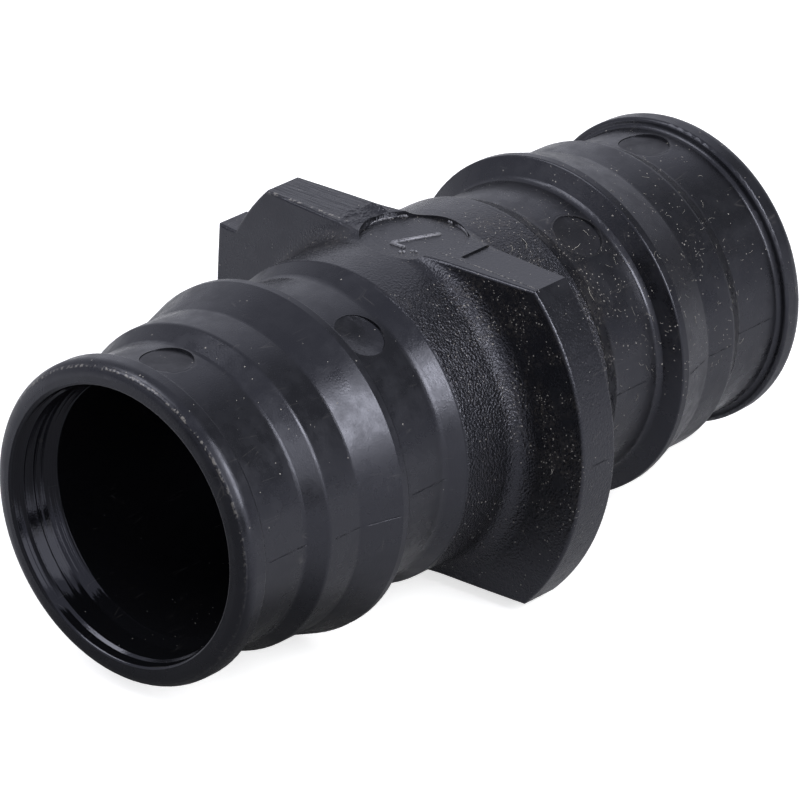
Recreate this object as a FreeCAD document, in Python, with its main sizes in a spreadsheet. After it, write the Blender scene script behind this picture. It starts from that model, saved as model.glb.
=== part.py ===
"""Double-ended cold-expansion coupling for PEX pipe, moulded in one piece.

The bore runs along X and the origin is at the middle of the coupling. Z is the
direction in which the mould opens, so the stop flange has its flats above and below
and its square tab towards +Y. All sizes are in millimetres.
"""
import FreeCAD, Part
import math
import os

import Sketcher

# Driving sizes. Lengths along the bore are counted from each open end towards the middle.
SIZES = [
    ("overall_length", 87.0, "end face to end face"),
    ("bore_diameter", 27.6, "bore right through"),
    ("rim_wall", 3.2, "lip at each open end, from the bore to its outside"),
    ("rim_width", 3.0, "lip along the bore"),
    ("rim_edge_radius", 1.5, "round on the lip's outer edge"),
    ("rim_back_radius", 0.4, "round on the lip's inner edge"),
    ("rim_root_radius", 0.5, "fillet where the lip meets the neck"),
    ("neck_wall", 2.1, "recess behind the lip, from the bore"),
    ("neck_length", 6.7, "recess along the bore"),
    ("first_ramp_length", 2.3, "rise from the neck to the band"),
    ("band_wall", 3.35, "cylinder between the two ramps, from the bore"),
    ("band_length", 4.3, "cylinder between the two ramps"),
    ("band_edge_radius", 0.9, "soft edges of the band and the first ramp"),
    ("second_ramp_length", 4.9, "rise from the band to the crest"),
    ("crest_wall", 4.75, "largest ring that the pipe passes, from the bore"),
    ("crest_length", 0.9, "flat land on the crest"),
    ("crest_edge_radius", 0.25, "sealing edge of the crest"),
    ("crest_fall_length", 1.2, "steep back of the crest"),
    ("crest_root_radius", 0.8, "fillet at the foot of the crest"),
    ("groove_wall", 2.4, "groove between the crest and the mid-body, from the bore"),
    ("groove_length", 6.8, "groove along the bore"),
    ("groove_ramp_length", 2.4, "rise from the groove to the mid-body"),
    ("groove_root_radius", 2.0, "fillet at the foot of that rise"),
    ("body_wall", 3.45, "mid-body on both sides of the flange, from the bore"),
    ("body_edge_radius", 0.9, "round at the edge of the mid-body"),
    ("flange_height", 7.75, "round part of the stop flange above the mid-body"),
    ("flange_thickness", 5.0, "stop flange along the bore at its round edge"),
    ("flange_root_thickness", 6.7, "stop flange where its faces run into the mid-body"),
    ("flat_height", 0.2, "flats on top and below, above the mid-body"),
    ("flange_root_radius", 2.0, "fillet between the flange and the mid-body"),
    ("flange_edge_radius", 0.3, "round on the flange's outline"),
    ("tab_height", 7.45, "end face of the tab above the mid-body"),
    ("tab_width", 23.2, "tab across its square end"),
    ("mouth_step", 0.8, "mouth at the end face, wider than the bore on each side"),
    ("mouth_edge_radius", 0.3, "round at the mouth"),
    ("land_step", 0.65, "first land inside the mouth, wider than the bore on each side"),
    ("land_length", 1.1, "from the end face to the shallow step"),
    ("step_width", 0.35, "slope of the shallow step"),
    ("seat_step", 0.45, "second land inside the mouth, wider than the bore on each side"),
    ("seat_length", 2.8, "second land along the bore"),
    ("throat_length", 1.5, "cone from the second land to the bore"),
    ("disc_diameter", 11.2, "round mould insert on top of the flange"),
    ("disc_depth", 0.6, "flat face of that insert below the flats"),
    ("panel_start", 7.2, "label panel from the axis towards -Y"),
    ("panel_length", 9.0, "label panel along the flat"),
    ("panel_margin", 1.3, "strip left between the panel and the near flange face"),
    ("panel_depth", 0.2, "label panel below the flat"),
    ("pin_mark_diameter", 5.4, "round marks that the mould's pins leave"),
    ("pin_mark_depth", 0.3, "their flat faces below the surface"),
    ("neck_mark_place", 36.7, "mark on the neck from the middle"),
    ("groove_mark_place", 16.8, "mark in the groove from the middle"),
    ("groove_mark_angle", 28.0, "mark in the groove away from the top, in degrees"),
]

# Where the corners of the half section lie along the bore.
END = "Sizes.overall_length / 2"
RIM_BACK = f"{END} - Sizes.rim_width"
NECK_END = f"{RIM_BACK} - Sizes.neck_length"
BAND_START = f"{NECK_END} - Sizes.first_ramp_length"
BAND_END = f"{BAND_START} - Sizes.band_length"
CREST_START = f"{BAND_END} - Sizes.second_ramp_length"
CREST_END = f"{CREST_START} - Sizes.crest_length"
GROOVE_START = f"{CREST_END} - Sizes.crest_fall_length"
GROOVE_END = f"{GROOVE_START} - Sizes.groove_length"
BODY_START = f"{GROOVE_END} - Sizes.groove_ramp_length"
LAND_END = f"{END} - Sizes.land_length"
SEAT_START = f"{LAND_END} - Sizes.step_width"
SEAT_END = f"{SEAT_START} - Sizes.seat_length"
THROAT_END = f"{SEAT_END} - Sizes.throat_length"

# How far the surfaces are from the axis.
BORE = "Sizes.bore_diameter / 2"
MOUTH = f"{BORE} + Sizes.mouth_step"
LAND = f"{BORE} + Sizes.land_step"
SEAT = f"{BORE} + Sizes.seat_step"
RIM = f"{BORE} + Sizes.rim_wall"
NECK = f"{BORE} + Sizes.neck_wall"
BAND = f"{BORE} + Sizes.band_wall"
CREST = f"{BORE} + Sizes.crest_wall"
GROOVE = f"{BORE} + Sizes.groove_wall"
MID_BODY = f"{BORE} + Sizes.body_wall"
FLANGE_RADIUS = f"{MID_BODY} + Sizes.flange_height"
FLAT_PLACE = f"{MID_BODY} + Sizes.flat_height"
TAB_PLACE = f"{MID_BODY} + Sizes.tab_height"
DISC_PLACE = f"{FLAT_PLACE} - Sizes.disc_depth"

# The flange is turned larger than its corners, with sloping faces, and then cut to its outline.
BLANK_HEIGHT = "(Sizes.flange_height + Sizes.tab_width / 4)"
FLANGE_ROOT = "Sizes.flange_root_thickness / 2"
FACE_SLOPE = "(Sizes.flange_root_thickness - Sizes.flange_thickness) / 2 / Sizes.flange_height"
FLANGE_RIM = f"{FLANGE_ROOT} - {FACE_SLOPE} * {BLANK_HEIGHT}"

# The half section, corner by corner: place along the bore, distance from the axis, size of the round.
HALF_SECTION = [
    ("0", BORE, None),
    (THROAT_END, BORE, None),
    (SEAT_END, SEAT, None),
    (SEAT_START, SEAT, None),
    (LAND_END, LAND, None),
    (END, MOUTH, "mouth_edge_radius"),
    (END, RIM, "rim_edge_radius"),
    (RIM_BACK, RIM, "rim_back_radius"),
    (RIM_BACK, NECK, "rim_root_radius"),
    (NECK_END, NECK, "band_edge_radius"),
    (BAND_START, BAND, "band_edge_radius"),
    (BAND_END, BAND, "band_edge_radius"),
    (CREST_START, CREST, "crest_edge_radius"),
    (CREST_END, CREST, "crest_edge_radius"),
    (GROOVE_START, GROOVE, "crest_root_radius"),
    (GROOVE_END, GROOVE, "groove_root_radius"),
    (BODY_START, MID_BODY, "body_edge_radius"),
    (FLANGE_ROOT, MID_BODY, "flange_root_radius"),
    (FLANGE_RIM, f"{MID_BODY} + {BLANK_HEIGHT}", None),
    ("0", f"{MID_BODY} + {BLANK_HEIGHT}", None),
]

TOLERANCE = 0.001    # how near two places must be to count as the same
OVERSHOOT = 3.0      # how far a cutting solid runs past what it works on


def make_sheet(doc):
    """Put the driving sizes in a spreadsheet, one row each, with an alias to use in expressions."""
    sheet = doc.addObject("Spreadsheet::Sheet", "Sizes")
    for row, (name, value, note) in enumerate(SIZES, start=1):
        sheet.set(f"A{row}", name)
        sheet.set(f"B{row}", str(value))
        sheet.set(f"C{row}", note)
        sheet.setAlias(f"B{row}", name)
    doc.recompute()
    return sheet


def origin_plane(body, role):
    """Return one of the body's own origin planes by its role."""
    return next(item for item in body.Origin.OriginFeatures if item.Role == role)


def new_sketch(body, name, role):
    """Add a sketch that lies on one of the body's origin planes."""
    sketch = body.newObject("Sketcher::SketchObject", name)
    sketch.AttachmentSupport = (origin_plane(body, role), "")
    sketch.MapMode = "FlatFace"
    return sketch


def draw_outline(sketch, corners):
    """Draw a closed outline of straight lines and tie each corner to its two expressions."""
    first = sketch.GeometryCount
    places = [(index, index * index) for index in range(len(corners))]
    ends = places[1:] + places[:1]
    for (start_x, start_y), (end_x, end_y) in zip(places, ends):
        start = FreeCAD.Vector(start_x, start_y, 0)
        sketch.addGeometry(Part.LineSegment(start, FreeCAD.Vector(end_x, end_y, 0)), False)
    lines = [first + index for index in range(len(corners))]
    for line, following in zip(lines, lines[1:] + lines[:1]):
        sketch.addConstraint(Sketcher.Constraint("Coincident", line, 2, following, 1))
    for line, (across, up), (start_x, start_y) in zip(lines, corners, places):
        for kind, place, expression in (("DistanceX", start_x, across), ("DistanceY", start_y, up)):
            tie = sketch.addConstraint(Sketcher.Constraint(kind, -1, 1, line, 1, float(place)))
            sketch.setExpression(f"Constraints[{tie}]", expression)


def mark_corners(sketch, corners):
    """Put a construction point at every corner, tie it to its expressions and read it back."""
    marks = []
    for across, up in corners:
        mark = sketch.addGeometry(Part.Point(FreeCAD.Vector(1, 1, 0)), True)
        for kind, expression in (("DistanceX", across), ("DistanceY", up)):
            tie = sketch.addConstraint(Sketcher.Constraint(kind, -1, 1, mark, 1, 1.0))
            sketch.setExpression(f"Constraints[{tie}]", expression)
        marks.append(mark)
    sketch.Document.recompute()
    places = [FreeCAD.Vector(sketch.Geometry[mark].X, sketch.Geometry[mark].Y, 0) for mark in marks]
    return marks, places


def tangent_arc(before, corner, after, radius):
    """Fit an arc in a corner: its two touching points, the arc, and whether it turns left."""
    arriving = (before - corner).normalize()
    leaving = (after - corner).normalize()
    half_angle = arriving.getAngle(leaving) / 2
    reach = radius / math.tan(half_angle)
    centre = corner + (arriving + leaving).normalize() * (radius / math.sin(half_angle))
    first = corner + arriving * reach
    last = corner + leaving * reach
    turns_left = leaving.cross(arriving).z > 0
    low, high = (first, last) if turns_left else (last, first)
    start = math.atan2(low.y - centre.y, low.x - centre.x)
    end = math.atan2(high.y - centre.y, high.x - centre.x)
    circle = Part.Circle(centre, FreeCAD.Vector(0, 0, 1), radius)
    return first, last, Part.ArcOfCircle(circle, start, end), turns_left


def draw_rounded_outline(sketch, sheet, corners):
    """Draw a closed outline through its corners, with a tangent arc wherever a corner is round."""
    marks, places = mark_corners(sketch, [(across, up) for across, up, _ in corners])
    count = len(corners)
    touching = []
    for index, (_, _, size) in enumerate(corners):
        if size is None:
            touching.append((places[index], places[index], None, True))
            continue
        before = places[index - 1]
        after = places[(index + 1) % count]
        touching.append(tangent_arc(before, places[index], after, sheet.getPropertyByName(size)))
    lines = []
    for index in range(count):
        start = touching[index][1]
        end = touching[(index + 1) % count][0]
        lines.append(sketch.addGeometry(Part.LineSegment(start, end), False))
    for index, (_, _, size) in enumerate(corners):
        arriving = lines[index - 1]
        leaving = lines[index]
        if size is None:
            sketch.addConstraint(Sketcher.Constraint("Coincident", arriving, 2, marks[index], 1))
            sketch.addConstraint(Sketcher.Constraint("Coincident", leaving, 1, marks[index], 1))
            continue
        arc = sketch.addGeometry(touching[index][2], False)
        first_end, last_end = (1, 2) if touching[index][3] else (2, 1)
        sketch.addConstraint(Sketcher.Constraint("Tangent", arriving, 2, arc, first_end))
        sketch.addConstraint(Sketcher.Constraint("Tangent", leaving, 1, arc, last_end))
        sketch.addConstraint(Sketcher.Constraint("PointOnObject", marks[index], 1, arriving))
        sketch.addConstraint(Sketcher.Constraint("PointOnObject", marks[index], 1, leaving))
        radius = sketch.addConstraint(Sketcher.Constraint("Radius", arc, sheet.getPropertyByName(size)))
        sketch.setExpression(f"Constraints[{radius}]", f"Sizes.{size}")


def draw_circle(sketch, diameter):
    """Draw a circle about the sketch's origin and tie its diameter to an expression."""
    circle = sketch.addGeometry(Part.Circle(FreeCAD.Vector(0, 0, 0), FreeCAD.Vector(0, 0, 1), 1.0), False)
    sketch.addConstraint(Sketcher.Constraint("Coincident", circle, 3, -1, 1))
    tie = sketch.addConstraint(Sketcher.Constraint("Diameter", circle, 2.0))
    sketch.setExpression(f"Constraints[{tie}]", diameter)


def extrude(body, kind, name, sketch, length, side="One side", backwards=False):
    """Add a pad or a pocket of one sketch with its length tied to an expression."""
    feature = body.newObject(kind, name)
    feature.Profile = sketch
    feature.SideType = side
    feature.Reversed = backwards
    feature.setExpression("Length", length)
    body.Document.recompute()
    return feature


def turned_blank(body, sheet):
    """Revolve the half section, drawn on the parting plane, and mirror it to the other end."""
    section = new_sketch(body, "half_section", "XY_Plane")
    corners = [(along, f"-({radius})", size) for along, radius, size in HALF_SECTION]
    draw_rounded_outline(section, sheet, corners)
    half = body.newObject("PartDesign::Revolution", "turned_half")
    half.Profile = section
    half.ReferenceAxis = (section, ["H_Axis"])
    half.Angle = 360.0
    body.Document.recompute()
    both = body.newObject("PartDesign::Mirrored", "both_ends")
    both.Originals = [half]
    both.MirrorPlane = (origin_plane(body, "YZ_Plane"), [""])
    body.Tip = both
    body.Document.recompute()
    return both


def round_edges(body, name, base, edges, radius):
    """Add a fillet to the named edges of a feature with its radius tied to a size."""
    fillet = body.newObject("PartDesign::Fillet", name)
    fillet.Base = (base, edges)
    fillet.setExpression("Radius", f"Sizes.{radius}")
    body.Document.recompute()
    return fillet


def draw_flange_outline(sketch, radius, flat_place, tab_place, half_tab):
    """Draw the flange's outline: round, cut by the flats, with a square tab towards +Y."""
    flat_end = (radius ** 2 - flat_place ** 2) ** 0.5
    tab_start = (radius ** 2 - half_tab ** 2) ** 0.5
    corners = [
        (tab_place, half_tab),
        (tab_start, half_tab),
        (flat_end, flat_place),
        (-flat_end, flat_place),
        (-flat_end, -flat_place),
        (flat_end, -flat_place),
        (tab_start, -half_tab),
        (tab_place, -half_tab),
    ]
    rounded = (1, 3, 5)
    first = sketch.GeometryCount
    for index, (start_x, start_y) in enumerate(corners):
        end_x, end_y = corners[(index + 1) % len(corners)]
        if index in rounded:
            circle = Part.Circle(FreeCAD.Vector(0, 0, 0), FreeCAD.Vector(0, 0, 1), radius)
            start = math.atan2(start_y, start_x)
            end = math.atan2(end_y, end_x) % (2 * math.pi) if index == 3 else math.atan2(end_y, end_x)
            sketch.addGeometry(Part.ArcOfCircle(circle, start, end), False)
        else:
            start = FreeCAD.Vector(start_x, start_y, 0)
            sketch.addGeometry(Part.LineSegment(start, FreeCAD.Vector(end_x, end_y, 0)), False)
    pieces = [first + index for index in range(len(corners))]
    for piece, following in zip(pieces, pieces[1:] + pieces[:1]):
        sketch.addConstraint(Sketcher.Constraint("Coincident", piece, 2, following, 1))
    for index in rounded:
        sketch.addConstraint(Sketcher.Constraint("Coincident", pieces[index], 3, -1, 1))
        tie = sketch.addConstraint(Sketcher.Constraint("Radius", pieces[index], radius))
        sketch.setExpression(f"Constraints[{tie}]", FLANGE_RADIUS)
    for index in (0, 2, 4, 6):
        sketch.addConstraint(Sketcher.Constraint("Horizontal", pieces[index]))
    sketch.addConstraint(Sketcher.Constraint("Vertical", pieces[7]))
    ties = [
        ("DistanceX", 0, tab_place, TAB_PLACE),
        ("DistanceY", 0, half_tab, "Sizes.tab_width / 2"),
        ("DistanceY", 2, flat_place, FLAT_PLACE),
        ("DistanceY", 4, -flat_place, f"-({FLAT_PLACE})"),
        ("DistanceY", 7, -half_tab, "-Sizes.tab_width / 2"),
    ]
    for kind, index, place, expression in ties:
        tie = sketch.addConstraint(Sketcher.Constraint(kind, -1, 1, pieces[index], 1, place))
        sketch.setExpression(f"Constraints[{tie}]", expression)


def flange_trim(body, radius, flat_place, tab_place, half_tab):
    """Cut the turned flange and its root fillets to the flange's outline."""
    far = f"({MID_BODY} + {BLANK_HEIGHT} + {OVERSHOOT})"
    width = f"Sizes.flange_root_thickness + 2 * Sizes.flange_root_radius + {TOLERANCE}"
    sketch = new_sketch(body, "trim_outline", "YZ_Plane")
    draw_outline(sketch, [(f"-{far}", f"-{far}"), (far, f"-{far}"), (far, far), (f"-{far}", far)])
    draw_flange_outline(sketch, radius, flat_place, tab_place, half_tab)
    return extrude(body, "PartDesign::Pocket", "flange_outline", sketch, width, "Symmetric")


def flange_outline_edges(shape, radius, flat_place, tab_place, half_tab):
    """Name the edges round the flange's outline, on both of its faces."""
    tab_start = (radius ** 2 - half_tab ** 2) ** 0.5

    def on_outline(place):
        """Say whether a place lies on the flats, the round or the tab."""
        on_flat = abs(abs(place.z) - flat_place) < TOLERANCE
        on_round = abs(math.hypot(place.y, place.z) - radius) < TOLERANCE
        on_end = abs(place.y - tab_place) < TOLERANCE
        on_side = abs(abs(place.z) - half_tab) < TOLERANCE and place.y > tab_start - TOLERANCE
        return on_flat or on_round or on_end or on_side

    names = []
    for number, edge in enumerate(shape.Edges, start=1):
        if edge.BoundBox.XMin < 0 < edge.BoundBox.XMax:
            continue
        low, high = edge.FirstParameter, edge.LastParameter
        if all(on_outline(edge.valueAt(low + (high - low) * share)) for share in (0.0, 0.3, 0.7, 1.0)):
            names.append(f"Edge{number}")
    return names


def mould_marks(body):
    """Add the insert disc, the label panel and the pin marks that the mould leaves on top."""
    wall_inside = f"{BORE} + Sizes.body_wall / 3"
    disc = new_sketch(body, "disc_outline", "XY_Plane")
    disc.setExpression("AttachmentOffset.Base.z", DISC_PLACE)
    draw_circle(disc, "Sizes.disc_diameter")
    extrude(body, "PartDesign::Pad", "disc_boss", disc, f"{DISC_PLACE} - ({wall_inside})", backwards=True)
    cleared = new_sketch(body, "disc_clearing", "XY_Plane")
    cleared.setExpression("AttachmentOffset.Base.z", DISC_PLACE)
    draw_circle(cleared, "Sizes.disc_diameter")
    extrude(body, "PartDesign::Pocket", "disc_face", cleared, str(OVERSHOOT), backwards=True)

    panel = new_sketch(body, "panel_outline", "XY_Plane")
    panel.setExpression("AttachmentOffset.Base.z", f"{FLAT_PLACE} - Sizes.panel_depth")
    near = "-(Sizes.flange_thickness / 2 - Sizes.panel_margin)"
    far = "Sizes.flange_root_thickness / 2 + Sizes.flange_root_radius"
    start = "-Sizes.panel_start"
    end = "-(Sizes.panel_start + Sizes.panel_length)"
    draw_outline(panel, [(near, end), (far, end), (far, start), (near, start)])
    extrude(body, "PartDesign::Pocket", "label_panel", panel, str(OVERSHOOT), backwards=True)

    turn = "Sizes.groove_mark_angle"
    marks = [
        ("near_neck_mark", "-Sizes.neck_mark_place", NECK, "0"),
        ("far_neck_mark", "Sizes.neck_mark_place", NECK, "0"),
        ("near_groove_mark", "-Sizes.groove_mark_place", GROOVE, turn),
        ("far_groove_mark", "Sizes.groove_mark_place", GROOVE, turn),
    ]
    for name, along, radius, angle in marks:
        pin_mark(body, name, along, f"({radius} - Sizes.pin_mark_depth)", angle)


def pin_mark(body, name, along, height, angle):
    """Cut one flat round mark whose face stands square to the barrel at an angle from the top."""
    sketch = new_sketch(body, f"{name}_outline", "XY_Plane")
    about_bore = FreeCAD.Rotation(FreeCAD.Vector(1, 0, 0), 1)
    sketch.AttachmentOffset = FreeCAD.Placement(FreeCAD.Vector(), about_bore)
    sketch.setExpression("AttachmentOffset.Base.x", along)
    sketch.setExpression("AttachmentOffset.Base.y", f"-{height} * sin({angle} * 1deg)")
    sketch.setExpression("AttachmentOffset.Base.z", f"{height} * cos({angle} * 1deg)")
    sketch.setExpression("AttachmentOffset.Rotation.Angle", angle)
    draw_circle(sketch, "Sizes.pin_mark_diameter")
    extrude(body, "PartDesign::Pocket", name, sketch, str(OVERSHOOT / 2), backwards=True)


def coupling(doc, sheet):
    """Model the coupling body: blank, flange outline, rounds and mould marks."""
    body = doc.addObject("PartDesign::Body", "coupling_body")
    body.Label = "coupling_body"
    turned_blank(body, sheet)
    body_radius = sheet.bore_diameter / 2 + sheet.body_wall
    outline = (
        body_radius + sheet.flange_height,
        body_radius + sheet.flat_height,
        body_radius + sheet.tab_height,
        sheet.tab_width / 2,
    )
    trimmed = flange_trim(body, *outline)
    edges = flange_outline_edges(trimmed.Shape, *outline)
    round_edges(body, "flange_round", trimmed, edges, "flange_edge_radius")
    mould_marks(body)
    doc.recompute()
    return body


def check(doc, bodies):
    """Stop if any object failed to compute or any finished solid is not sound."""
    for item in doc.Objects:
        if "Invalid" in item.State or "Error" in item.State:
            raise RuntimeError(f"{item.Name} failed: {item.State}")
    for body in bodies:
        if body.Shape.isNull() or not body.Shape.isValid() or len(body.Shape.Solids) != 1:
            raise RuntimeError(f"{body.Label} is not one sound solid")


doc = FreeCAD.newDocument("pex_coupling")
sheet = make_sheet(doc)
parts = [coupling(doc, sheet)]
check(doc, parts)
os.makedirs("parts", exist_ok=True)
for part in parts:
    part.Shape.exportStep(f"parts/{part.Label}.step")
    print(part.Label, "volume", round(part.Shape.Volume, 1), "box", part.Shape.BoundBox)
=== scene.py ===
"""Looks for a double-ended PEX coupling, moulded in one piece from black polymer.

The coupling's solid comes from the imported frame. This script dresses it and adds what
its mould and its time in a box have left on it: the parting line's flash, the date
arrow on the round insert, the torn gate beside the tab, and lint and grit from storage.
Lengths are in metres in the part's own frame: X runs along the bore from the near end,
Y points towards the flange's tab, and Z points up.
"""

import logging
import math
import random
from dataclasses import dataclass
from enum import Enum
from typing import Callable, Iterable, Sequence

import bmesh
import bpy
from mathutils import Matrix, Vector, noise
from mathutils.bvhtree import BVHTree


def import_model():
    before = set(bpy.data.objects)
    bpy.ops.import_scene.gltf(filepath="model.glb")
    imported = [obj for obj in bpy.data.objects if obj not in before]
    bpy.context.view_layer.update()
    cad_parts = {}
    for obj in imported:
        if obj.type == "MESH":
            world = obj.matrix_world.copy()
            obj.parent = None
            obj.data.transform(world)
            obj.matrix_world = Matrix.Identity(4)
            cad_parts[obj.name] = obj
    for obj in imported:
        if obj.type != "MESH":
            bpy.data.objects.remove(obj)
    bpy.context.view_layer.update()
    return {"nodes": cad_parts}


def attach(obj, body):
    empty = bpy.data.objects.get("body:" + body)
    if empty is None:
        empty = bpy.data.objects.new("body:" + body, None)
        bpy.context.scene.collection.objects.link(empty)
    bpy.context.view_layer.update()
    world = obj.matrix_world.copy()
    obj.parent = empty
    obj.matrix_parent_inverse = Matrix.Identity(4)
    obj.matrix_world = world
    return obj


LOG = logging.getLogger("coupling")
MM = 0.001
BODY = "root"
COUPLING_NODE = "coupling_body"

# A ray that starts this far from the bore's axis starts outside the coupling.
CLEAR = 40.0 * MM
X_AXIS = Vector((1.0, 0.0, 0.0))
UP = Vector((0.0, 0.0, 1.0))
DOWN = Vector((0.0, 0.0, -1.0))

# The lustre of the polymer, moulded or torn.
LUSTRE = {"IOR": 1.64, "Specular Tint": (0.835, 0.852, 1.0, 1.0)}

# Where the parting line shows, in millimetres from the middle towards either end.
SEAM_RUNS = ((0.0, 1.35), (13.4, 18.3), (22.7, 26.2), (27.3, 30.8), (33.8, 39.1))
SEAM_EASE = 0.3

Colour = tuple[float, float, float, float]
Triple = tuple[float, float, float]
Pair = tuple[float, float]
Found = tuple[Vector, Vector]
Shares = Sequence[tuple[str, float]]


class Side(Enum):
    """The two sides on which the mould halves meet."""

    TAB = 1.0
    ARC = -1.0


class Measure(Enum):
    """What a zone's limits are set on; all but the last in millimetres."""

    X = "place along the bore"
    Y = "place across it, towards the tab"
    Z = "height"
    ALONG = "distance from the middle along the bore"
    RADIUS = "distance from the bore's axis"
    RISE = "how far the surface faces up, from -1 to 1"


X, Y, Z, ALONG, RADIUS, RISE = Measure


@dataclass(frozen=True)
class Step:
    """A smooth step: where it starts, where it is complete, and its value at both."""

    start: float
    full: float
    low: float = 0.0
    high: float = 1.0


@dataclass(frozen=True)
class Limit:
    """An eased limit of a zone: where it starts, where it is full, and what it leaves outside."""

    measure: Measure
    start: float
    full: float
    low: float = 0.0

    def step(self) -> Step:
        """Give the limit as a step, in metres where it is a length."""
        unit = 1.0 if self.measure is RISE else MM
        return Step(self.start * unit, self.full * unit, self.low)


BORE = Limit(RADIUS, 15.0, 14.7)
OUTSIDE = Limit(RADIUS, 14.7, 15.0)
FLATS = (Limit(RISE, 0.985, 0.998), Limit(Z, 16.7, 16.8), Limit(ALONG, 5.9, 5.6))

# Each zone by name: the places that keep all the limits of one of its rows.
ZONES: dict[str, Sequence[Sequence[Limit]]] = {
    "Textured": [[
        Limit(ALONG, 11.25, 10.95), OUTSIDE, Limit(Z, 16.95, 15.4, 0.30),
        Limit(RADIUS, 19.6, 18.8, 0.35), Limit(Y, 13.0, 9.5, 0.35),
    ]],
    "Bore": [[BORE]],
    "Land": [[BORE, Limit(ALONG, 37.6, 37.9)]],
    # Edge lines that carry a painted highlight and a slight raised bump.
    "Lip Line": [
        [Limit(RADIUS, 16.30, 16.42), Limit(RADIUS, 16.66, 16.52), Limit(ALONG, 42.2, 42.5)],
        [Limit(X, -1.92, -1.82), Limit(X, -1.66, -1.76), Limit(Y, -2.6, -3.2), Limit(Z, 17.2, 17.3)],
        [Limit(X, -2.62, -2.52), Limit(X, -2.15, -2.30), Limit(Y, 6.0, 8.0), Limit(Z, 17.1, 17.2)],
    ],
    "Up": [[Limit(RISE, -0.1, 0.8), OUTSIDE]],
    "Flange Face": [[
        Limit(X, -5.6, -4.4), Limit(X, -2.2, -2.45), Limit(Y, 2.0, -3.0),
        Limit(Z, -14.0, 4.0, 0.15), Limit(Z, 17.4, 17.0),
    ]],
    "Far Root": [[
        Limit(X, 2.3, 3.2), Limit(X, 17.5, 13.0), Limit(Y, 9.0, -3.0), Limit(Z, -2.0, 7.0), OUTSIDE,
    ]],
    "Far Barrel": [[
        Limit(X, 10.0, 16.0), Limit(X, 42.0, 30.0, 0.35), Limit(Y, 9.0, -9.0, 0.25),
        Limit(Z, -9.0, 3.0), OUTSIDE,
    ]],
    "Near Root": [[
        Limit(X, -8.6, -6.0), Limit(X, -2.6, -3.0), Limit(Y, 4.6, 6.2),
        Limit(RADIUS, 18.9, 17.9), Limit(Z, 6.0, 12.0),
    ]],
    "Flats": [FLATS],
    "Tab Flat": [[*FLATS, Limit(Y, 4.5, 7.0)]],
    "Seam": [
        [Limit(ALONG, start - SEAM_EASE, start), Limit(ALONG, end + SEAM_EASE, end), OUTSIDE]
        for start, end in SEAM_RUNS
    ],
}


@dataclass(frozen=True)
class Cloud:
    """The setting of a noise texture: cells per metre, octaves and their roughness."""

    scale: "float | Value"
    detail: float = 3.0
    roughness: float = 0.5


def reckoned(operation: str, swapped: bool = False) -> Callable[..., "Value"]:
    """Make the method behind one of Value's operators.

    Args:
        operation: the Math node's operation.
        swapped: whether the value comes second.

    Returns:
        The method.
    """
    def reckon(value: "Value", *others: "Value | float") -> "Value":
        """Add the Math node."""
        return value.graph.math(operation, *((*others, value) if swapped else (value, *others)))

    return reckon


class Value:
    """A varying number or colour in a node tree.

    Numbers are reckoned with like plain ones. Here | gives the larger of two, and < gives
    1 where it holds and 0 elsewhere.
    """

    __add__ = reckoned("ADD")
    __sub__ = reckoned("SUBTRACT")
    __rsub__ = reckoned("SUBTRACT", swapped=True)
    __mul__ = reckoned("MULTIPLY")
    __truediv__ = reckoned("DIVIDE")
    __or__ = reckoned("MAXIMUM")
    __lt__ = reckoned("LESS_THAN")
    __abs__ = reckoned("ABSOLUTE")

    def __init__(self, graph: "Graph", socket: bpy.types.NodeSocket) -> None:
        """Hold an output socket and the graph that it belongs to."""
        self.graph = graph
        self.socket = socket

    def step(self, step: Step) -> "Value":
        """Ease over a step.

        Args:
            step: the step.

        Returns:
            The eased value.
        """
        inputs = {"Value": self, "From Min": step.start, "From Max": step.full}
        inputs |= {"To Min": step.low, "To Max": step.high}
        node = self.graph.add("ShaderNodeMapRange", "ease", inputs, interpolation_type="SMOOTHSTEP")
        return Value(self.graph, node.outputs["Result"])


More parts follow.
